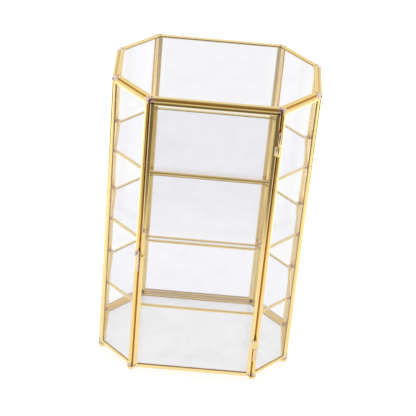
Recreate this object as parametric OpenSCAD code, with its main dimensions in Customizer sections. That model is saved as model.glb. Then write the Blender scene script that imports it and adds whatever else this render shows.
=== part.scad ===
// Glass jewelry box: a tall eight-sided case of clear panes, each edged in folded
// brass and soldered at the corners, with three shelves inside, a hinged front
// door, a swing hook that holds it shut, and eight ball feet.
// The origin is the middle of the case on the surface it stands on, +Z is up,
// and the door faces -Y.

/* [Case] */
// Width of the door opening and of the back pane, from corner line to corner line
front_w = 106; // [80:1:150]
// Width of the two end panes, from corner line to corner line
side_w = 47; // [30:1:80]
// Run of each 45 degree corner pane, along X and along Y
corner_run = 30.5; // [20:0.5:40]
// Height of the wall panes
wall_h = 277.6; // [240:0.2:340]
// Height from one shelf to the next, and from the ball feet to the lowest shelf
shelf_pitch = 70; // [50:1:78]

/* [Glass and brass edging] */
// Thickness of the wall, top and base glass
glass_t = 2.4; // [1.8:0.1:3]
// Thickness of the shelf glass
shelf_glass_t = 1.5; // [1.5:0.1:2.5]
// Thickness of the brass strip that the edging is folded from
strip_t = 0.35; // [0.3:0.05:0.5]
// Depth of the edging over the face of a wall, top or base pane
edging_d = 3.3; // [2.8:0.1:5]
// Depth of the edging over the face of a shelf
shelf_edging_d = 2.4; // [2:0.1:4]
// Gap all round the door
door_gap = 0.35; // [0.3:0.05:0.5]

/* [Feet and solder] */
// Radius of a ball foot
foot_r = 3.5; // [3:0.1:4.5]
// Radius of a solder bead on a top corner
bead_r = 2.3; // [1.8:0.1:2.5]
// How far a solder tack reaches past the gap between a shelf and the wall
tack_grip = 0.9; // [0.6:0.1:1.6]

/* [Hinges] */
// Outer radius of a hinge tube
tube_r = 1.1; // [1:0.05:1.3]
// Radius of the hinge pin
pin_r = 0.5; // [0.4:0.05:0.6]
// Length of the tube on the case
fixed_tube_l = 13; // [8:0.5:20]
// Length of the tube on the door
door_tube_l = 9; // [6:0.5:14]
// Height where the two tubes of the upper hinge meet
upper_hinge_z = 251; // [200:1:255]
// Height where the two tubes of the lower hinge meet
lower_hinge_z = 37; // [24:0.5:60]

/* [Latch] */
// Height of the pivot of the hook
latch_z = 155; // [100:1:200]
// Distance from the pivot to the middle of the notch
hook_reach = 25; // [22:1:40]
// Width of the shank of the hook
hook_w = 1.5; // [1.2:0.1:2]
// Thickness of the hook
hook_t = 0.6; // [0.5:0.1:1]
// Radius of the shank of the pivot and of the stud
rivet_r = 0.6; // [0.5:0.05:0.8]

/* [Hidden] */
$fn = 48;

// Walls are counted anticlockwise seen from above, from the door
DOOR = 0;
FRONT_RIGHT = 1;
RIGHT = 2;
BACK_RIGHT = 3;
BACK = 4;
BACK_LEFT = 5;
LEFT = 6;
FRONT_LEFT = 7;
WALLS = 8;
turn = 360 / WALLS;
half_turn = turn / 2;

// Inner faces of the walls
half_front = front_w / 2;
half_side = side_w / 2;
half_w = half_front + corner_run;
half_d = half_side + corner_run;

// Thickness of an edged pane
pane_t = glass_t + 2 * strip_t;
shelf_t = shelf_glass_t + 2 * strip_t;
// Hairline between panes that are soldered edge to edge
seam = 0.05;
// Gap between parts that move past each other
running_gap = 0.3;
// Radial clearance of a pin in a tube and of the hook on its pivot
bore_clear = 0.06;
// A cutter stands this far proud of what it cuts
proud = 1;

// Heights: the balls stand on a small flat and their upper part carries the walls
foot_flat = 0.2;
foot_z = foot_r - foot_flat;
wall_z = foot_z + 1.3;
base_z = wall_z - pane_t;
top_z = wall_z + wall_h;
// A ball sits under each end of a corner pane, in from its end and out from its inner face
foot_in = 1.5;
foot_out = 1.1;
// Beads sit this far outside the inner corner line
bead_out = 0.8;
bead_z = top_z + 0.6;
// The shelves are cut this much small all round and set forward, clear of the door
shelf_inset = 1.7;
shelf_forward = shelf_inset - 0.35;
shelf_zs = [for (n = [1:3]) foot_z + n * shelf_pitch - shelf_t / 2];
// Middle of a solder tack, from the end of a corner pane
tack_in = 2.2;

// The hinge axis lies in front of the groove between the door and the corner pane
axis_out = (tube_r + running_gap) / sin(half_turn);
axis_side = axis_out * sin(half_turn);
axis_front = pane_t - axis_out * cos(half_turn);
tube_gap = 0.4;
pin_head_l = 0.6;
pin_head_r = 0.9;
solder_grip = 1.6;

// The pivot stands on the middle of the door stile, the stud on the corner stile
stile_mid = edging_d / 2;
boss_t = 0.4;
boss_r = 1.4;
head_r = 1.3;
head_t = 0.5;
face_y = -half_d - pane_t;
hook_y = face_y - boss_t - running_gap - hook_t;
head_y = hook_y - running_gap;
pivot_x = -half_front + door_gap + stile_mid;
stud_x = -half_front - pane_t * cos(turn) - 1.4;
swing = asin((pivot_x - stud_x) / hook_reach);
stud_z = latch_z - hook_reach * cos(swing);
notch_r = rivet_r + running_gap;
eye_r = 1.6;
claw_r = notch_r + 1;
tail_l = 5.5;

BRASS = "#E0BB66";
GLASS = [0.88, 0.92, 0.95, 0.35];
SOLDER = "#D9BFA8";

// Corners of the octagon that lies this far inside the inner faces of the walls.
// Corner n is where wall n starts.
function octagon(inset) =
    let (
        f = half_front - inset * tan(half_turn),
        s = half_side - inset * tan(half_turn),
        w = half_w - inset,
        d = half_d - inset
    )
    [[-f, -d], [f, -d], [w, -s], [w, s], [f, d], [-f, d], [-w, s], [-w, -s]];

function wall_start(n) = octagon(0)[n];
function wall_end(n) = octagon(0)[(n + 1) % WALLS];
function wall_w(n) = norm(wall_end(n) - wall_start(n));
function wall_gap(n) = n == DOOR ? door_gap : seam;

// Puts its children on wall n: X along the wall, -Y outwards, the inner face at Y = 0
module on_wall(n) {
    middle = (wall_start(n) + wall_end(n)) / 2;
    translate([middle.x, middle.y, 0])
        rotate([0, 0, n * turn])
            children();
}

// A flat slab in wall n, this far inside the outline of the pane
module slab(n, inset, t) {
    w = wall_w(n) - 2 * (wall_gap(n) + inset);
    z = wall_z + wall_gap(n) + inset;
    h = wall_h - 2 * (wall_gap(n) + inset);
    translate([-w / 2, -(pane_t + t) / 2, z])
        cube([w, t, h]);
}

// Folded brass edging round wall n: a closed web outside, a groove for the glass inside
module wall_frame(n) {
    color(BRASS)
        on_wall(n)
            difference() {
                slab(n, 0, pane_t);
                slab(n, strip_t, glass_t);
                slab(n, edging_d, pane_t + 2 * proud);
            }
}

module wall_glass(n) {
    color(GLASS)
        on_wall(n)
            slab(n, strip_t, glass_t);
}

module plate(inset, z, t) {
    translate([0, 0, z])
        linear_extrude(t)
            polygon(octagon(inset));
}

// Edging round a level eight-sided pane
module level_frame(inset, z, t, depth) {
    color(BRASS)
        difference() {
            plate(inset, z, t);
            plate(inset + strip_t, z + strip_t, t - 2 * strip_t);
            plate(inset + depth, z - proud, t + 2 * proud);
        }
}

module level_glass(inset, z, t) {
    color(GLASS)
        plate(inset + strip_t, z + strip_t, t - 2 * strip_t);
}

module top_frame() {
    level_frame(seam, top_z, pane_t, edging_d);
}

module top_glass() {
    level_glass(seam, top_z, pane_t);
}

module base_frame() {
    level_frame(seam, base_z, pane_t, edging_d);
}

module base_glass() {
    level_glass(seam, base_z, pane_t);
}

module shelf_frame(n) {
    translate([0, -shelf_forward, 0])
        level_frame(shelf_inset, shelf_zs[n], shelf_t, shelf_edging_d);
}

module shelf_glass(n) {
    translate([0, -shelf_forward, 0])
        level_glass(shelf_inset, shelf_zs[n], shelf_t);
}

// The place of the ball under corner n: corners come in pairs, one at each end of a corner pane
function foot_place(n) =
    let (
        pane = n % 2 == 1 ? n : (n + WALLS - 1) % WALLS,
        along = (wall_end(pane) - wall_start(pane)) / wall_w(pane),
        out = [along.y, -along.x],
        inward = n % 2 == 1 ? foot_in : -foot_in
    )
    octagon(0)[n] + inward * along + foot_out * out;

// A ball under corner n, cut level with the foot of the walls and flat where it stands
module foot(n) {
    place = foot_place(n);
    color(BRASS)
        difference() {
            intersection() {
                translate([place.x, place.y, foot_z])
                    sphere(r = foot_r);
                translate([place.x - foot_r, place.y - foot_r, 0])
                    cube([2 * foot_r, 2 * foot_r, wall_z]);
            }
            plate(seam, base_z, pane_t);
        }
}

// A bead on each top corner, lying on the walls against the edge of the top pane
module top_solder() {
    color(SOLDER)
        difference() {
            for (place = octagon(-bead_out))
                intersection() {
                    translate([place.x, place.y, bead_z])
                        sphere(r = bead_r);
                    translate([place.x - bead_r, place.y - bead_r, top_z])
                        cube(2 * bead_r);
                }
            plate(seam, top_z, pane_t);
        }
}

// The gap between the edge of a shelf and wall n: wider at the back, because the shelves sit forward
function shelf_gap(n) =
    let (along = (wall_end(n) - wall_start(n)) / wall_w(n))
    shelf_inset - shelf_forward * along.x;

// A tack between each shelf and the wall at both ends of every corner pane
module shelf_solder() {
    color(SOLDER)
        for (z = shelf_zs)
            for (n = [FRONT_RIGHT, BACK_RIGHT, BACK_LEFT, FRONT_LEFT])
                for (end = [-1, 1])
                    difference() {
                        on_wall(n)
                            translate([end * (wall_w(n) / 2 - tack_in), shelf_gap(n) / 2, z])
                                sphere(r = shelf_gap(n) / 2 + tack_grip);
                        on_wall(n)
                            slab(n, 0, pane_t);
                        translate([0, -shelf_forward, 0])
                            plate(shelf_inset, z, shelf_t);
                    }
}

// A hinge tube with the solder that holds it to a stile. The origin is the outer edge
// of the stile, +X runs off its end over the groove and -Y is outwards.
module hinge_tube(gap, length) {
    reach = axis_side + gap;
    color(SOLDER)
        difference() {
            union() {
                translate([reach, axis_front, 0])
                    cylinder(r = tube_r, h = length);
                linear_extrude(length)
                    polygon([
                        [-solder_grip, 0],
                        [0, 0],
                        [0, solder_grip / 2],
                        [reach, axis_front + tube_r / 2],
                        [reach, axis_front - tube_r * 0.8]
                    ]);
            }
            translate([reach, axis_front, -proud])
                cylinder(r = pin_r + bore_clear, h = length + 2 * proud);
        }
}

module door_tube(z) {
    on_wall(DOOR)
        translate([wall_w(DOOR) / 2 - door_gap, -pane_t, z])
            hinge_tube(door_gap, door_tube_l);
}

module case_tube(z) {
    on_wall(FRONT_RIGHT)
        translate([seam - wall_w(FRONT_RIGHT) / 2, -pane_t, z])
            mirror([1, 0, 0])
                hinge_tube(seam, fixed_tube_l);
}

// A wire pin through both tubes, with a flattened head at each end
module hinge_pin(low_z, length) {
    end_z = low_z - running_gap - pin_head_l;
    shank_l = length + 2 * (running_gap + pin_head_l);
    color(BRASS)
        on_wall(DOOR)
            translate([wall_w(DOOR) / 2 + axis_side, axis_front - pane_t, end_z]) {
                cylinder(r = pin_r, h = shank_l);
                cylinder(r = pin_head_r, h = pin_head_l);
                translate([0, 0, shank_l - pin_head_l])
                    cylinder(r = pin_head_r, h = pin_head_l);
            }
}

hinge_l = fixed_tube_l + tube_gap + door_tube_l;

module hinge_upper_case_tube() {
    case_tube(upper_hinge_z + tube_gap);
}

module hinge_upper_door_tube() {
    door_tube(upper_hinge_z - door_tube_l);
}

module hinge_upper_pin() {
    hinge_pin(upper_hinge_z - door_tube_l, hinge_l);
}

module hinge_lower_case_tube() {
    case_tube(lower_hinge_z - fixed_tube_l);
}

module hinge_lower_door_tube() {
    door_tube(lower_hinge_z + tube_gap);
}

module hinge_lower_pin() {
    hinge_pin(lower_hinge_z - fixed_tube_l, hinge_l);
}

// A round bar along -Y, from y_back to y_front
module front_bar(x, z, y_back, y_front, r) {
    translate([x, y_back, z])
        rotate([90, 0, 0])
            cylinder(r = r, h = y_back - y_front);
}

// A rivet on the left stile of the door, with a boss that keeps the hook off the stile
module latch_pivot() {
    color(SOLDER) {
        front_bar(pivot_x, latch_z, face_y, face_y - boss_t, boss_r);
        front_bar(pivot_x, latch_z, face_y, head_y - head_t, rivet_r);
        front_bar(pivot_x, latch_z, head_y, head_y - head_t, head_r);
    }
}

// A flat hook that hangs from the pivot: an eye, a slim shank, a notched claw that
// opens towards the stud, and a finger tail
module latch_hook() {
    color(BRASS)
        translate([pivot_x, hook_y + hook_t, latch_z])
            rotate([90, 0, 0])
                difference() {
                    union() {
                        cylinder(r = eye_r, h = hook_t);
                        translate([-hook_w / 2, -hook_reach, 0])
                            cube([hook_w, hook_reach, hook_t]);
                        translate([0, -hook_reach, 0])
                            cylinder(r = claw_r, h = hook_t);
                        translate([-hook_w / 2, -hook_reach - tail_l, 0])
                            cube([hook_w, tail_l, hook_t]);
                        translate([0, -hook_reach - tail_l, 0])
                            cylinder(r = hook_w / 2, h = hook_t);
                    }
                    translate([0, 0, -proud])
                        cylinder(r = rivet_r + bore_clear, h = hook_t + 2 * proud);
                    translate([0, -hook_reach, -proud])
                        cylinder(r = notch_r, h = hook_t + 2 * proud);
                    translate([-2 * claw_r, -hook_reach - notch_r, -proud])
                        cube([2 * claw_r, 2 * notch_r, hook_t + 2 * proud]);
                }
}

// A headed stud on the stile of the front left corner pane, in a pad of solder
module latch_stud() {
    color(SOLDER)
        difference() {
            union() {
                front_bar(stud_x, stud_z, -half_d, face_y + boss_t, boss_r);
                front_bar(stud_x, stud_z, -half_d, head_y - head_t, rivet_r);
                front_bar(stud_x, stud_z, head_y, head_y - head_t, head_r);
            }
            on_wall(FRONT_LEFT)
                slab(FRONT_LEFT, 0, pane_t);
        }
}

top_glass();
top_frame();
base_glass();
base_frame();
wall_glass(BACK);  // back_glass
wall_frame(BACK);  // back_frame
wall_glass(LEFT);  // left_glass
wall_frame(LEFT);  // left_frame
wall_glass(RIGHT);  // right_glass
wall_frame(RIGHT);  // right_frame
wall_glass(FRONT_LEFT);  // front_left_glass
wall_frame(FRONT_LEFT);  // front_left_frame
wall_glass(FRONT_RIGHT);  // front_right_glass
wall_frame(FRONT_RIGHT);  // front_right_frame
wall_glass(BACK_LEFT);  // back_left_glass
wall_frame(BACK_LEFT);  // back_left_frame
wall_glass(BACK_RIGHT);  // back_right_glass
wall_frame(BACK_RIGHT);  // back_right_frame
shelf_glass(0);  // shelf_low_glass
shelf_frame(0);  // shelf_low_frame
shelf_glass(1);  // shelf_mid_glass
shelf_frame(1);  // shelf_mid_frame
shelf_glass(2);  // shelf_high_glass
shelf_frame(2);  // shelf_high_frame
wall_glass(DOOR);  // door_glass
wall_frame(DOOR);  // door_frame
foot(0);  // foot_1
foot(1);  // foot_2
foot(2);  // foot_3
foot(3);  // foot_4
foot(4);  // foot_5
foot(5);  // foot_6
foot(6);  // foot_7
foot(7);  // foot_8
top_solder();
shelf_solder();
hinge_upper_case_tube();
hinge_upper_door_tube();
hinge_upper_pin();
hinge_lower_case_tube();
hinge_lower_door_tube();
hinge_lower_pin();
latch_pivot();
latch_hook();
latch_stud();
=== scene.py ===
import math
import random

import bmesh
import bpy
from mathutils import Matrix, Vector, noise


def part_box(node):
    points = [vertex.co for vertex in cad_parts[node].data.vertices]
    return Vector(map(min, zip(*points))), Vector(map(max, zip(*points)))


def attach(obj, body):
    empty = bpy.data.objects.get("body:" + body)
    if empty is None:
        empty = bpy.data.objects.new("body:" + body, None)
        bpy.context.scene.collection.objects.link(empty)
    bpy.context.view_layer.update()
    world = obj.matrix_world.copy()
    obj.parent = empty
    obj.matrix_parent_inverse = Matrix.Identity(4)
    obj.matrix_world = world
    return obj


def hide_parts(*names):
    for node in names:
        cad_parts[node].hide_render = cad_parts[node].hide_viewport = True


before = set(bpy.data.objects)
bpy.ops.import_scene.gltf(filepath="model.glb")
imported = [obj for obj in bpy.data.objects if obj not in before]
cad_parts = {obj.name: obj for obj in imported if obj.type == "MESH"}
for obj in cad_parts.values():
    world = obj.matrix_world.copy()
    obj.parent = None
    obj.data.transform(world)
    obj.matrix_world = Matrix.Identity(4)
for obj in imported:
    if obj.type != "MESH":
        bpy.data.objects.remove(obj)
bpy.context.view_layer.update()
MM = 0.001

# ---------------------------------------------------------------------------
# Glass: clear float glass, cut to size for each pane. Its edges are hidden in
# the brass, so only the two polished faces show.
# ---------------------------------------------------------------------------


def linear(code, alpha=1.0):
    """An sRGB hex colour as linear RGBA."""
    channels = [int(code[i : i + 2], 16) / 255 for i in (1, 3, 5)]
    return [c / 12.92 if c <= 0.04045 else ((c + 0.055) / 1.055) ** 2.4 for c in channels] + [alpha]


def add_node(tree, kind, inputs=None, **settings):
    """Adds a shader node. An input that is given a socket is linked, any other is set."""
    node = tree.nodes.new("ShaderNode" + kind)
    for name, value in settings.items():
        setattr(node, name, value)
    for name, value in (inputs or {}).items():
        if isinstance(value, bpy.types.NodeSocket):
            tree.links.new(value, node.inputs[name])
        else:
            node.inputs[name].default_value = value
    return node


def new_material(name):
    material = bpy.data.materials.new(name)
    material.use_nodes = True
    material.node_tree.nodes.clear()
    return material, material.node_tree


def float_glass(name, tint, dust_cover, mark_cover):
    """Float glass, smooth on both faces. Even dust and the wiping marks in it cover these
    shares of the surface."""
    material, tree = new_material(name)
    glass = add_node(
        tree,
        "BsdfPrincipled",
        {"Base Color": tint, "Roughness": 0.0, "IOR": 1.5, "Transmission Weight": 1.0},
    )
    place = add_node(tree, "TexCoord").outputs["Object"]
    # wiping marks run in arcs 20 to 40 mm long
    marks = add_node(
        tree,
        "TexNoise",
        {"Vector": place, "Scale": 1 / (35 * MM), "Detail": 5.0, "Roughness": 0.62, "Distortion": 0.8},
    )
    covered = add_node(
        tree,
        "MapRange",
        {
            "Value": marks.outputs[0],
            "From Min": 0.45,
            "From Max": 0.75,
            "To Min": dust_cover,
            "To Max": dust_cover + mark_cover,
        },
    )
    dust = add_node(tree, "BsdfDiffuse", {"Color": linear("#C9C9C6")})
    dusty = add_node(
        tree, "MixShader", {0: covered.outputs[0], 1: glass.outputs[0], 2: dust.outputs[0]}
    )
    # lamps and bounced light pass straight through, as they do through a thin pane
    rays = add_node(tree, "LightPath")
    through = add_node(tree, "BsdfTransparent", {"Color": linear("#FFFFFF")})
    lit = add_node(
        tree,
        "MixShader",
        {0: rays.outputs["Is Shadow Ray"], 1: dusty.outputs[0], 2: through.outputs[0]},
    )
    bounced = add_node(
        tree,
        "MixShader",
        {0: rays.outputs["Is Diffuse Ray"], 1: lit.outputs[0], 2: through.outputs[0]},
    )
    add_node(tree, "OutputMaterial", {"Surface": bounced.outputs[0]})
    return material


clear_glass = float_glass("clear float glass", linear("#FAFAFC"), 0.0, 0.02)
base_pane_glass = float_glass("float glass with wiping marks", linear("#F6F6F7"), 0.05, 0.06)

# ---------------------------------------------------------------------------
# Walls, top and base: panes edged in brass strip folded to a U, one length a
# side, mitred and soldered at the corners, where solder tins the brass.
# ---------------------------------------------------------------------------


def wavy_bump(tree, place, spacing, distance):
    """The shallow waves of a metal surface that was worked or melted by hand."""
    waves = add_node(
        tree,
        "TexNoise",
        {"Vector": place, "Scale": 1 / spacing, "Detail": 3.0, "Roughness": 0.5},
    )
    return add_node(
        tree,
        "Bump",
        {"Height": waves.outputs[0], "Distance": distance, "Strength": 0.5},
    )


def polished_brass():
    """Polished brass strip under clear lacquer: warm yellow, sharp highlights, with a painted
    browner shade in the grooves between panes and pinkish tin where solder has run on to it."""
    material, tree = new_material("polished brass")
    place = add_node(tree, "TexCoord").outputs["Object"]
    tone = add_node(tree, "Attribute", attribute_name="tone")
    groove = add_node(tree, "Attribute", attribute_name="groove")
    tinned = add_node(tree, "Attribute", attribute_name="tinned")
    yellow = add_node(
        tree,
        "MixRGB",
        {"Fac": tone.outputs["Fac"], "Color1": linear("#F3D78F"), "Color2": linear("#F8E2A6")},
    )
    # painted shade: where the web lies in a groove between panes, the brass is mixed to a darker brown
    groove_shaded = add_node(
        tree,
        "MixRGB",
        {"Fac": groove.outputs["Fac"], "Color1": yellow.outputs[0], "Color2": linear("#D0A25C")},
    )
    # the edge of a run of solder wanders by about a millimetre
    runs = add_node(
        tree,
        "TexNoise",
        {"Vector": place, "Scale": 1 / (2.2 * MM), "Detail": 2.0, "Roughness": 0.5},
    )
    ragged = add_node(
        tree, "Math", {0: runs.outputs[0], 1: tinned.outputs["Fac"]}, operation="ADD"
    )
    run = add_node(
        tree,
        "MapRange",
        {"Value": ragged.outputs[0], "From Min": 0.95, "From Max": 1.15},
    )
    colour = add_node(
        tree,
        "MixRGB",
        {"Fac": run.outputs[0], "Color1": groove_shaded.outputs[0], "Color2": linear("#EFD3C0")},
    )
    # handling leaves the polish uneven over 10 to 15 mm
    worn = add_node(
        tree,
        "TexNoise",
        {"Vector": place, "Scale": 1 / (12 * MM), "Detail": 4.0, "Roughness": 0.6},
    )
    roughness = add_node(
        tree,
        "MapRange",
        {"Value": worn.outputs[0], "From Min": 0.3, "From Max": 0.7, "To Min": 0.13, "To Max": 0.24},
    )
    bump = wavy_bump(tree, place, 9 * MM, 0.05 * MM)
    metal = add_node(
        tree,
        "BsdfPrincipled",
        {
            "Base Color": colour.outputs[0],
            "Metallic": 1.0,
            "Roughness": roughness.outputs[0],
            "Normal": bump.outputs[0],
        },
    )
    add_node(tree, "OutputMaterial", {"Surface": metal.outputs[0]})
    return material


brass = polished_brass()
chance = random.Random(4)


def make_piece(bm, name, material, slot, body, *nodes):
    """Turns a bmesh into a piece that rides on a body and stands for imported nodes."""
    mesh = bpy.data.meshes.new(name)
    bm.to_mesh(mesh)
    bm.free()
    mesh.materials.append(material)
    piece = bpy.data.objects.new(name, mesh)
    bpy.context.scene.collection.objects.link(piece)
    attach(piece, body)
    if nodes:
        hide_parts(*nodes)
    return piece


def smooth_faces(piece, sharp):
    """Shades round edges smooth and leaves the flats flat."""
    piece.data.shade_smooth()
    piece.data.set_sharp_from_angle(angle=sharp)
    flats = piece.modifiers.new("flat faces", "WEIGHTED_NORMAL")
    flats.keep_sharp = True


MITRE_GAP = 0.02 * MM
# the tin fades out over these distances from a mitre
TINNED_AT = [1.2 * MM, 2.6 * MM, 4.5 * MM]
LIP = 1.1 * MM
LIP_STEPS = 5
# outer radii of a fold that lies in a groove between panes, and of one that shows
TIGHT_FOLD = 0.05 * MM
WIDE_FOLD = 0.9 * MM
NEARLY_ZERO = 0.01 * MM
OCTAGON_HALF_TURN = math.radians(22.5)


def round_fold(bm, length, y, z, radius):
    """Rounds the long edge of a strip that runs through (y, z)."""
    fold = [
        e
        for e in bm.edges
        if e.calc_length() > length * 0.9
        and all(abs(v.co.y - y) + abs(v.co.z - z) < NEARLY_ZERO for v in e.verts)
    ]
    bmesh.ops.bevel(
        bm, geom=fold, offset=radius, segments=6, profile=0.5, affect="EDGES", material=-1
    )


def rolled_lip(depth, sheet):
    """The outer face of a flange at Z = 0, rolled down to the glass over the last LIP."""
    # the lip tapers to this thickness at its end
    thin = sheet * 0.15
    radius = (LIP**2 + (sheet - thin) ** 2) / (2 * (sheet - thin))
    points = []
    for n in range(LIP_STEPS + 1):
        run = LIP * n / LIP_STEPS
        points.append((depth - LIP + run, radius - math.sqrt(radius**2 - run**2)))
    return points


def edging_strip(length, thickness, depth, sheet, folds, start_angle, end_angle):
    """One U strip along +X with its web at Y = 0 and its open side towards +Y. folds are
    the outer radii at Z = 0 and at the far face. The ends are mitred. Returns a bmesh."""
    bm = bmesh.new()
    tinned = bm.verts.layers.float.new("tinned")
    groove = bm.verts.layers.float.new("groove")
    lip = rolled_lip(depth, sheet)
    section = [(0, 0)] + lip + [(depth, sheet), (sheet, sheet), (sheet, thickness - sheet)]
    section += [(depth, thickness - sheet)]
    section += [(y, thickness - z) for y, z in reversed(lip)] + [(0, thickness)]
    end = bm.faces.new([bm.verts.new((0, y, z)) for y, z in section])
    drawn = bmesh.ops.extrude_face_region(bm, geom=[end])
    moved = [v for v in drawn["geom"] if isinstance(v, bmesh.types.BMVert)]
    bmesh.ops.translate(bm, verts=moved, vec=(length, 0, 0))
    bmesh.ops.recalc_face_normals(bm, faces=bm.faces)
    for radius, z, inner_z in ((folds[0], 0, sheet), (folds[1], thickness, thickness - sheet)):
        round_fold(bm, length, 0, z, radius)
        if radius > sheet:
            round_fold(bm, length, sheet, inner_z, radius - sheet)
    for v in bm.verts:
        # the web beside a tight fold lies in the groove between two panes, where the brass gets a
        # painted darker shade
        near = v.co.z < thickness / 3 and folds[0] == TIGHT_FOLD
        far = v.co.z > thickness * 2 / 3 and folds[1] == TIGHT_FOLD
        v[groove] = 1.0 if v.co.y < NEARLY_ZERO and (near or far) else 0.0
    for at, angle, side in ((0, start_angle, -1), (length, end_angle, 1)):
        normal = Vector((side * math.sin(angle), -math.cos(angle), 0))
        cut = bmesh.ops.bisect_plane(
            bm,
            geom=bm.verts[:] + bm.edges[:] + bm.faces[:],
            plane_co=Vector((at, 0, 0)) - normal * MITRE_GAP,
            plane_no=normal,
            clear_outer=True,
        )
        rim = [e for e in cut["geom_cut"] if isinstance(e, bmesh.types.BMEdge)]
        bmesh.ops.contextual_create(bm, geom=rim)
        for run in TINNED_AT:
            bmesh.ops.bisect_plane(
                bm,
                geom=bm.verts[:] + bm.edges[:] + bm.faces[:],
                plane_co=Vector((at, 0, 0)) - normal * run,
                plane_no=normal,
            )
    for v in bm.verts:
        near_start = v.co.x * math.sin(start_angle) + v.co.y * math.cos(start_angle)
        near_end = (length - v.co.x) * math.sin(end_angle) + v.co.y * math.cos(end_angle)
        away = min(near_start, near_end)
        v[tinned] = max(0.0, 1 - away / TINNED_AT[-1])
    return bm


def add_to(bm, part, place):
    """Moves a part into place and joins it to bm."""
    bmesh.ops.transform(part, matrix=place, verts=part.verts)
    loose = bpy.data.meshes.new("loose")
    part.to_mesh(loose)
    part.free()
    bm.from_mesh(loose)
    bpy.data.meshes.remove(loose)


def pane_edging(outline, thickness, depth, sheet, folds, place):
    """Edging strips round an outline whose corners run anticlockwise in the XY plane.
    The pane's thickness is along +Z. Returns a bmesh."""
    bm = bmesh.new()
    bm.verts.layers.float.new("tinned")
    bm.verts.layers.float.new("groove")
    tone = bm.verts.layers.float.new("tone")
    corners = [Vector((*c, 0)) for c in outline]
    for n, corner in enumerate(corners):
        before = corners[n - 1]
        after = corners[(n + 1) % len(corners)]
        beyond = corners[(n + 2) % len(corners)]
        along = (after - corner).normalized()
        start_angle = along.angle(before - corner) / 2
        end_angle = (-along).angle(beyond - after) / 2
        inward = Vector((-along.y, along.x, 0))
        turn = Matrix((along, inward, Vector((0, 0, 1)))).transposed().to_4x4()
        strip = edging_strip(
            (after - corner).length, thickness, depth, sheet, folds, start_angle, end_angle
        )
        count = len(bm.verts)
        add_to(bm, strip, place @ Matrix.Translation(corner) @ turn)
        bm.verts.ensure_lookup_table()
        shade = chance.random()
        for v in bm.verts[count:]:
            v[tone] = shade
    return bm


back_low, back_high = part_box("back_frame")
glass_low, glass_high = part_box("back_glass")
right_low, right_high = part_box("right_frame")
edging_t = back_high.y - back_low.y
sheet_t = (edging_t - (glass_high.y - glass_low.y)) / 2
edging_d = 3.3 * MM
SEAM = 0.05 * MM
half_front = back_high.x + SEAM
half_depth = back_low.y
half_width = right_low.x
half_side = right_high.y + SEAM
# inner corner lines of the case, anticlockwise from the front left one
case_corners = [
    Vector((-half_front, -half_depth)),
    Vector((half_front, -half_depth)),
    Vector((half_width, -half_side)),
    Vector((half_width, half_side)),
    Vector((half_front, half_depth)),
    Vector((-half_front, half_depth)),
    Vector((-half_width, half_side)),
    Vector((-half_width, -half_side)),
]
wall_names = [
    "door",
    "front_right",
    "right",
    "back_right",
    "back",
    "back_left",
    "left",
    "front_left",
]


def wall_place(n):
    """The place of wall n: X along it from its start, Y up, Z outwards from its inner face.
    Also returns the length of the wall."""
    start = case_corners[n]
    run = case_corners[(n + 1) % 8] - start
    along = Vector((*run.normalized(), 0))
    up = Vector((0, 0, 1))
    turn = Matrix((along, up, along.cross(up))).transposed().to_4x4()
    return Matrix.Translation((start.x, start.y, 0)) @ turn, run.length


def pane(outline, thickness, place):
    """A pane of glass with arrised edges. Returns a bmesh."""
    bm = bmesh.new()
    face = bm.faces.new([bm.verts.new((*c, 0)) for c in outline])
    raised = bmesh.ops.extrude_face_region(bm, geom=[face])
    moved = [v for v in raised["geom"] if isinstance(v, bmesh.types.BMVert)]
    bmesh.ops.translate(bm, verts=moved, vec=(0, 0, thickness))
    bmesh.ops.recalc_face_normals(bm, faces=bm.faces)
    bmesh.ops.bevel(
        bm,
        geom=bm.edges[:],
        offset=0.1 * MM,
        segments=1,
        profile=0.5,
        affect="EDGES",
        material=-1,
    )
    bmesh.ops.transform(bm, matrix=place, verts=bm.verts)
    return bm


def rectangle(x_low, x_high, y_low, y_high):
    return [(x_low, y_low), (x_high, y_low), (x_high, y_high), (x_low, y_high)]


# how far the edge of a pane sits inside the outline of its edging
hidden = 1.2 * MM
# how far a wall's top strip is rolled up beside the top pane
rolled_up = 1.3 * MM
# the stiles of the door are pressed flat until they nearly touch their neighbours
tight_gap = 0.1 * MM
# the glass sits in the strip with this much air on either face
air = 0.05 * MM


def build_wall(n, body):
    """Makes the glass and the edging of wall n. The fold on the inside is tight, so that
    the inner corners of two walls meet, and the one on the outside is wide. The top strip
    is rolled up beside the edge of the top pane, which it hides in part."""
    name = wall_names[n]
    low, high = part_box(name + "_frame")
    place, length = wall_place(n)
    gap = low.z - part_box("base_frame")[1].z
    side_gap = min(gap, tight_gap)
    outline = rectangle(side_gap, length - side_gap, low.z, high.z + rolled_up)
    edging = pane_edging(outline, edging_t, edging_d, sheet_t, (TIGHT_FOLD, WIDE_FOLD), place)
    piece = make_piece(edging, "edging_" + name, brass, "brass", body, name + "_frame")
    smooth_faces(piece, math.radians(50))
    cut = rectangle(gap + hidden, length - gap - hidden, low.z + hidden, high.z - hidden)
    middle = place @ Matrix.Translation((0, 0, sheet_t + air))
    glass = pane(cut, edging_t - 2 * (sheet_t + air), middle)
    make_piece(glass, "pane_" + name, clear_glass, "clear_glass", body, name + "_glass")


for n in range(1, 8):
    build_wall(n, "case")


def inset_outline(half_x, half_y):
    """The case's octagon shrunk evenly to the half widths given."""
    trim = (half_width - half_x) * math.tan(OCTAGON_HALF_TURN)
    front = half_front - trim
    side = half_side - trim
    return [
        (-front, -half_y),
        (front, -half_y),
        (half_x, -side),
        (half_x, side),
        (front, half_y),
        (-front, half_y),
        (-half_x, side),
        (-half_x, -side),
    ]


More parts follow.
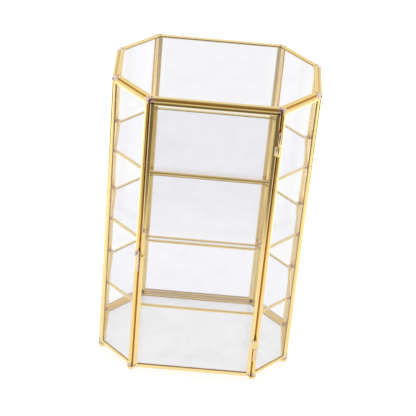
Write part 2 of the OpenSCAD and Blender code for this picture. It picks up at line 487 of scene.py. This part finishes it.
def build_level(name, depth, folds, glass_finish):
    """Makes the glass and the edging of a level eight-sided pane."""
    low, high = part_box(name + "_frame")
    half_y = (high.y - low.y) / 2
    outline = inset_outline(high.x, half_y)
    place = Matrix.Translation((0, high.y - half_y, low.z))
    edging = pane_edging(outline, high.z - low.z, depth, sheet_t, folds, place)
    piece = make_piece(edging, "edging_" + name, brass, "brass", "case", name + "_frame")
    smooth_faces(piece, math.radians(50))
    cut = inset_outline(high.x - hidden, half_y - hidden)
    middle = place @ Matrix.Translation((0, 0, sheet_t + air))
    glass = pane(cut, high.z - low.z - 2 * (sheet_t + air), middle)
    make_piece(glass, "pane_" + name, glass_finish, "clear_glass", "case", name + "_glass")


build_level("top", edging_d, (TIGHT_FOLD, WIDE_FOLD), clear_glass)
build_level("base", edging_d, (WIDE_FOLD, TIGHT_FOLD), base_pane_glass)

# ---------------------------------------------------------------------------
# Shelves: three panes of thinner glass in lighter edging, folded alike on both
# faces. Tacks of solder hold them to the corner panes.
# ---------------------------------------------------------------------------
shelf_edging_d = 2.4 * MM
shelf_fold = 0.7 * MM
for level in ("low", "mid", "high"):
    build_level("shelf_" + level, shelf_edging_d, (shelf_fold, shelf_fold), clear_glass)

# ---------------------------------------------------------------------------
# Door: a pane in the same edging as the walls. It is free all round and hangs
# on the two hinges beside its right stile.
# ---------------------------------------------------------------------------
build_wall(0, "door")

# ---------------------------------------------------------------------------
# Solder: tin alloy, melted on by hand and lacquered, so it is a pinkish silver
# with a lumpy surface. It lies as a bead on each top corner, and as a tack in
# the gap between a corner pane and each end of a shelf edge.
# ---------------------------------------------------------------------------


def tin_solder():
    """Soft solder: a grey metal that looks pink beside brass, frosted where it froze."""
    material, tree = new_material("tin solder")
    place = add_node(tree, "TexCoord").outputs["Object"]
    frost = add_node(
        tree,
        "TexNoise",
        {"Vector": place, "Scale": 1 / (1.5 * MM), "Detail": 3.0, "Roughness": 0.6},
    )
    colour = add_node(
        tree,
        "MixRGB",
        {"Fac": frost.outputs[0], "Color1": linear("#EBCDBB"), "Color2": linear("#FFF2EA")},
    )
    roughness = add_node(
        tree,
        "MapRange",
        {"Value": frost.outputs[0], "From Min": 0.3, "From Max": 0.7, "To Min": 0.3, "To Max": 0.5},
    )
    bump = wavy_bump(tree, place, 1.2 * MM, 0.08 * MM)
    metal = add_node(
        tree,
        "BsdfPrincipled",
        {
            "Base Color": colour.outputs[0],
            "Metallic": 1.0,
            "Roughness": roughness.outputs[0],
            "Normal": bump.outputs[0],
        },
    )
    add_node(tree, "OutputMaterial", {"Surface": metal.outputs[0]})
    return material


solder = tin_solder()


LUMPY = 0.3


def solder_lump(bm, centre, radius, lumpy):
    """Adds a frozen drop of solder: a ball that surface tension pulled out of round."""
    drop = bmesh.ops.create_icosphere(bm, subdivisions=3, radius=radius)["verts"]
    for v in drop:
        swell = noise.noise((v.co + centre) / (1.3 * MM))
        v.co *= 1 + lumpy * swell
    bmesh.ops.translate(bm, vec=centre, verts=drop)


def melt_together(piece, grain):
    """Runs the lumps of a piece into one skin."""
    melt = piece.modifiers.new("melt", "REMESH")
    melt.mode = "VOXEL"
    melt.voxel_size = grain
    melt.use_smooth_shade = True
    relax = piece.modifiers.new("relax", "SMOOTH")
    relax.iterations = 6


def cut_flat(bm, co, normal):
    """Cuts off what lies on the far side of a plane and closes the cut."""
    cut = bmesh.ops.bisect_plane(
        bm,
        geom=bm.verts[:] + bm.edges[:] + bm.faces[:],
        plane_co=co,
        plane_no=normal,
        clear_outer=True,
    )
    rim = [e for e in cut["geom_cut"] if isinstance(e, bmesh.types.BMEdge)]
    if rim:
        bmesh.ops.contextual_create(bm, geom=rim)


top_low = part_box("top_frame")[0]
door_clear = 2.8 * MM
bead_out = 0.9 * MM
# drops along each joint, in mm: distance from the corner, radius
joint_drops = ((1.0, 1.5), (2.2, 1.2), (3.2, 0.85))
# drops down the corner, in mm: height over the top strips, radius, distance out
corner_drops = ((0.8, 1.7, 0.6), (-1.4, 1.3, 0.9), (-3.2, 0.8, 0.9))
beads = bmesh.new()
for n, corner in enumerate(case_corners):
    out = Vector((*corner.normalized(), 0))
    corner = Vector((*corner, 0))
    ways = [case_corners[n - 1], case_corners[(n + 1) % 8]]
    if n < 2:
        # beside the door the bead lies on the corner pane alone, so that the door opens
        ways = ways[n : n + 1]
        corner += (Vector((*ways[0], 0)) - corner).normalized() * door_clear
    # the bead fills the notch between the walls and the top, and runs along the joints
    for way in ways:
        along = (Vector((*way, 0)) - corner).normalized()
        side = Vector((along.y, -along.x, 0))
        side *= 1 if side.dot(out) > 0 else -1
        for step, radius in joint_drops:
            place = corner + along * step * MM + side * bead_out
            lift = top_low.z + (radius * MM - bead_out) * 0.5 + 0.3 * MM
            solder_lump(beads, place + Vector((0, 0, lift)), radius * MM, 0.35)
    for rise, radius, proud in corner_drops:
        place = corner + out * proud * MM + Vector((0, 0, top_low.z + rise * MM))
        solder_lump(beads, place, radius * MM, LUMPY)
piece = make_piece(beads, "solder_beads_top", solder, "solder", "case", "top_solder")
melt_together(piece, 0.22 * MM)

tack_in = 2.2 * MM
tack_grip = 0.8 * MM
# drops in a tack: distance along the pane in mm, size against the middle one
tack_drops = ((-0.7, 0.75), (0, 1), (0.8, 0.7))
tacks = bmesh.new()
for level in ("low", "mid", "high"):
    low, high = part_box("shelf_" + level + "_frame")
    half_y = (high.y - low.y) / 2
    outline = inset_outline(high.x, half_y)
    for n in (1, 3, 5, 7):
        place, length = wall_place(n)
        # the shelves are set forward, so the gap at the back is the wider one
        corner = Vector((*outline[n], low.z)) + Vector((0, high.y - half_y, 0))
        gap = -(place.inverted() @ corner).z
        for along in (tack_in, length - tack_in):
            for step, size in tack_drops:
                lump = place @ Vector((along + step * MM, low.z, -gap / 2))
                solder_lump(tacks, lump, (gap / 2 + tack_grip) * size, LUMPY)
piece = make_piece(tacks, "solder_tacks_shelves", solder, "solder", "case", "shelf_solder")
melt_together(piece, 0.2 * MM)

# ---------------------------------------------------------------------------
# Ball feet: cast brass balls soldered under the corners, each worn to a small
# flat where it stands.
# ---------------------------------------------------------------------------
foot_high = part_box("foot_1")[1]
foot_r = 3.5 * MM
foot_z = foot_r - 0.2 * MM
foot_in = 1.5 * MM
foot_out = 1.1 * MM


def on_corner_pane(n, inward, height, out):
    """The point this far in along the corner pane that ends at corner n."""
    place, length = wall_place(n if n % 2 else (n + 7) % 8)
    return place @ Vector((inward if n % 2 else length - inward, height, out))


for n in range(8):
    out = on_corner_pane(n, foot_in, 0, foot_out)
    ball = bmesh.new()
    for layer in ("tinned", "tone", "groove"):
        ball.verts.layers.float.new(layer)
    bmesh.ops.create_uvsphere(ball, u_segments=40, v_segments=24, radius=foot_r)
    bmesh.ops.translate(ball, vec=(out.x, out.y, foot_z), verts=ball.verts)
    cut_flat(ball, Vector((0, 0, 0)), Vector((0, 0, -1)))
    cut_flat(ball, Vector((0, 0, foot_high.z - sheet_t)), Vector((0, 0, 1)))
    # the solder above has tinned the upper part of the ball
    tinned = ball.verts.layers.float["tinned"]
    for v in ball.verts:
        v[tinned] = max(0.0, (v.co.z - foot_z * 0.7) / foot_r)
    node = "foot_%d" % (n + 1)
    piece = make_piece(ball, "ball_" + node, brass, "brass", "case", node)
    piece.data.shade_smooth()
    piece.data.set_sharp_from_angle(angle=math.radians(40))

# ---------------------------------------------------------------------------
# Hinges and latch: brass tube on a wire pin, and a flat hook on a rivet. They
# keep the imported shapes, with their edges eased. Solder has run over the tubes.
# ---------------------------------------------------------------------------


def eased(node, radius, tin):
    """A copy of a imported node's mesh with its corners rounded off. tin is how much solder
    has run over it."""
    bm = bmesh.new()
    bm.from_mesh(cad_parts[node].data)
    tinned = bm.verts.layers.float.new("tinned")
    bm.verts.layers.float.new("tone")
    bm.verts.layers.float.new("groove")
    for v in bm.verts:
        v[tinned] = tin
    bmesh.ops.remove_doubles(bm, verts=bm.verts, dist=0.001 * MM)
    bmesh.ops.dissolve_limit(
        bm,
        angle_limit=math.radians(1),
        verts=bm.verts,
        edges=bm.edges,
        use_dissolve_boundaries=False,
    )
    corners = [e for e in bm.edges if e.is_manifold and e.calc_face_angle() > math.radians(35)]
    bmesh.ops.bevel(
        bm,
        geom=corners,
        offset=radius,
        segments=2,
        profile=0.5,
        affect="EDGES",
        material=-1,
        clamp_overlap=True,
    )
    return bm


for node, body, material, slot, tin in (
    ("hinge_upper_case_tube", "case", brass, "solder", 0.5),
    ("hinge_upper_door_tube", "door", brass, "solder", 0.5),
    ("hinge_lower_case_tube", "case", brass, "solder", 0.45),
    ("hinge_lower_door_tube", "door", brass, "solder", 0.45),
    ("hinge_upper_pin", "case", brass, "brass", 0.0),
    ("hinge_lower_pin", "case", brass, "brass", 0.0),
    ("latch_pivot", "door", solder, "solder", 1.0),
    ("latch_stud", "case", solder, "solder", 1.0),
    ("latch_hook", "hook", brass, "brass", 0.0),
):
    piece = make_piece(eased(node, 0.1 * MM, tin), node + "_made", material, slot, body, node)
    piece.data.shade_smooth()
    piece.data.set_sharp_from_angle(angle=math.radians(35))

# ---------------------------------------------------------------------------
# Solder on the hinges, the latch and the feet: uneven runs that hold each part
# to its stile. The runs on the door stay clear of the case, so that it opens.
# ---------------------------------------------------------------------------


MELT_GRAIN = 0.2 * MM


def solder_run(bm, start, end, radius, spacing):
    """Adds a run of drops along a line."""
    count = max(2, round((end - start).length / spacing))
    for n in range(count + 1):
        drop = radius * chance.uniform(0.75, 1.1)
        solder_lump(bm, start.lerp(end, n / count), drop, LUMPY)


def solder_piece(bm, name, body):
    """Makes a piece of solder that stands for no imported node."""
    melt_together(make_piece(bm, name, solder, "solder", body), MELT_GRAIN)


def straight_up(height):
    return Vector((0, 0, height))


pivot_low, pivot_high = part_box("latch_pivot")
stud_low, stud_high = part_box("latch_stud")
pivot_z = (pivot_low.z + pivot_high.z) / 2
stud_z = (stud_low.z + stud_high.z) / 2
door_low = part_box("door_frame")[0]
door_face = door_low.y

latch_door = bmesh.new()
# this solder lies low, so that the hook swings over it
low_y = door_face + 0.55 * MM
at_edge = Vector((door_low.x + 0.5 * MM, low_y, pivot_z))
bottom = at_edge + straight_up(-3 * MM)
top = at_edge + straight_up(4 * MM)
solder_run(latch_door, bottom, top, 0.75 * MM, 0.7 * MM)
solder_run(latch_door, at_edge, Vector((pivot_high.x, low_y, pivot_z)), 0.7 * MM, 0.8 * MM)
solder_piece(latch_door, "solder_latch_door", "door")

latch_case = bmesh.new()
beside = Vector((-half_front - 1.5 * MM, -half_depth - 2.4 * MM, stud_z))
top = beside + straight_up(2 * MM)
bottom = beside + straight_up(-18 * MM)
solder_run(latch_case, top, bottom, 0.95 * MM, 0.8 * MM)
at_stud = Vector((stud_low.x + 1.4 * MM, door_face + 1.6 * MM, stud_z))
solder_run(latch_case, beside, at_stud, 1.0 * MM, 1.0 * MM)
solder_piece(latch_case, "solder_latch_case", "case")

# the solder stops this far from the ends of a hinge tube
tube_end = 1.0 * MM
for hinge in ("hinge_upper", "hinge_lower"):
    for body in ("case", "door"):
        low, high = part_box("%s_%s_tube" % (hinge, body))
        on_case = body == "case"
        x = high.x - 0.3 * MM if on_case else low.x + 0.9 * MM
        y = high.y - 0.6 * MM if on_case else door_face
        bottom = Vector((x, y, low.z)) + straight_up(tube_end)
        top = Vector((x, y, high.z)) - straight_up(tube_end)
        run = bmesh.new()
        solder_run(run, bottom, top, 0.8 * MM, 0.8 * MM)
        solder_piece(run, "solder_%s_%s" % (hinge, body), body)

# drops on top of a foot, in mm: distance in along the corner pane, radius
collar_drops = ((0.9, 1.1), (2.1, 1.2), (3.2, 0.8))
collars = bmesh.new()
for n in range(8):
    for inward, radius in collar_drops:
        lump = on_corner_pane(n, inward * MM, foot_high.z + 0.3 * MM, 2.6 * MM)
        solder_lump(collars, lump, radius * MM, LUMPY)
solder_piece(collars, "solder_feet", "case")

# ---------------------------------------------------------------------------
# Floor, light and camera. A pale floor under an even white tent, with a grey
# card lying in front and a white one at each side, which only polished metal
# and glass pick up.
# ---------------------------------------------------------------------------
scene = bpy.context.scene
scene.view_settings.view_transform = "Standard"
scene.cycles.max_bounces = 24
scene.cycles.transmission_bounces = 24
scene.cycles.glossy_bounces = 8
scene.cycles.transparent_max_bounces = 48


def flat_sheet(name, x_low, x_high, y_low, y_high, z, material):
    bm = bmesh.new()
    bmesh.ops.create_grid(bm, x_segments=1, y_segments=1, size=0.5)
    bmesh.ops.scale(bm, vec=(x_high - x_low, y_high - y_low, 1), verts=bm.verts)
    middle = ((x_low + x_high) / 2, (y_low + y_high) / 2, z)
    bmesh.ops.translate(bm, vec=middle, verts=bm.verts)
    mesh = bpy.data.meshes.new(name)
    bm.to_mesh(mesh)
    bm.free()
    mesh.materials.append(material)
    sheet = bpy.data.objects.new(name, mesh)
    scene.collection.objects.link(sheet)
    return sheet


def paper(name, colour, glow):
    """Matt paper, lit from behind by as much as glow."""
    material, tree = new_material(name)
    matt = add_node(tree, "BsdfDiffuse", {"Color": colour})
    light = add_node(tree, "Emission", {"Color": linear("#FFFFFF"), "Strength": glow})
    both = add_node(tree, "AddShader", {0: matt.outputs[0], 1: light.outputs[0]})
    add_node(tree, "OutputMaterial", {"Surface": both.outputs[0]})
    return material


def mirrored_card(name, colour, glow, clear_y, full_y):
    """Card that shows only in polished metal and in glass, and fades in from clear_y to
    full_y."""
    material, tree = new_material(name)
    rays = add_node(tree, "LightPath")
    seen = add_node(
        tree, "Math", {0: rays.outputs["Glossy Depth"], 1: 0.5}, operation="GREATER_THAN"
    )
    place = add_node(tree, "TexCoord").outputs["Object"]
    axes = add_node(tree, "SeparateXYZ", {0: place})
    fade = add_node(
        tree,
        "MapRange",
        {"Value": axes.outputs["Y"], "From Min": clear_y, "From Max": full_y},
    )
    shown = add_node(tree, "Math", {0: seen.outputs[0], 1: fade.outputs[0]}, operation="MULTIPLY")
    clear = add_node(tree, "BsdfTransparent")
    lit = add_node(tree, "Emission", {"Color": colour, "Strength": glow})
    mixed = add_node(
        tree, "MixShader", {0: shown.outputs[0], 1: clear.outputs[0], 2: lit.outputs[0]}
    )
    add_node(tree, "OutputMaterial", {"Surface": mixed.outputs[0]})
    return material


backlit_paper = paper("backlit white paper", linear("#9C9C9C"), 0.80)
flat_sheet("floor", -3, 3, -3, 3, 0, backlit_paper)
grey_card = mirrored_card("grey card", linear("#6A6458"), 1.0, -0.26, -0.34)
white_card = mirrored_card("white card", linear("#FFFFFF"), 2.2, 0.02, 0.05)
card_z = 0.5 * MM
cards = [
    flat_sheet("card in front", -0.7, 0.7, -3, -0.26, card_z, grey_card),
    flat_sheet("card at the left", -0.8, -0.12, 0, 0.3, card_z, white_card),
    flat_sheet("card at the right", 0.12, 0.8, 0, 0.3, card_z, white_card),
]
for card in cards:
    card.visible_camera = False
    card.visible_diffuse = False
    card.visible_shadow = False

# The tent is open towards the camera, and the room behind the camera is dim
world = bpy.data.worlds.new("tent")
world.use_nodes = True
tree = world.node_tree
tree.nodes.clear()
direction = add_node(tree, "TexCoord").outputs["Generated"]
opening = Vector((0, -0.95, 0.3)).normalized()
opening_rim = math.radians(62)
opening_middle = math.radians(38)
towards = add_node(
    tree, "VectorMath", {0: direction, 1: opening}, operation="DOT_PRODUCT"
)
tent_wall = add_node(
    tree,
    "MapRange",
    {
        "Value": towards.outputs["Value"],
        "From Min": math.cos(opening_rim),
        "From Max": math.cos(opening_middle),
        "To Min": 1.0,
        "To Max": 0.45,
    },
    interpolation_type="SMOOTHSTEP",
)
# and its roof is dimmer than its foot
axes = add_node(tree, "SeparateXYZ", {0: direction})
roof = add_node(
    tree,
    "MapRange",
    {"Value": axes.outputs["Z"], "From Min": 0.1, "From Max": 0.5, "To Min": 1.0, "To Max": 0.92},
)
strength = add_node(
    tree, "Math", {0: tent_wall.outputs[0], 1: roof.outputs[0]}, operation="MULTIPLY"
)
light = add_node(tree, "Background", {"Color": linear("#FFFFFF"), "Strength": strength.outputs[0]})
add_node(tree, "OutputWorld", {"Surface": light.outputs[0]})
scene.world = world

camera_data = bpy.data.cameras.new("camera")
camera_data.lens = 142.736
camera = bpy.data.objects.new("camera", camera_data)
scene.collection.objects.link(camera)
camera.location = (-0.0141, -1.199, 0.9692)
camera.rotation_euler = [math.radians(a) for a in (55.39, -4.417, 2.274)]
scene.camera = camera
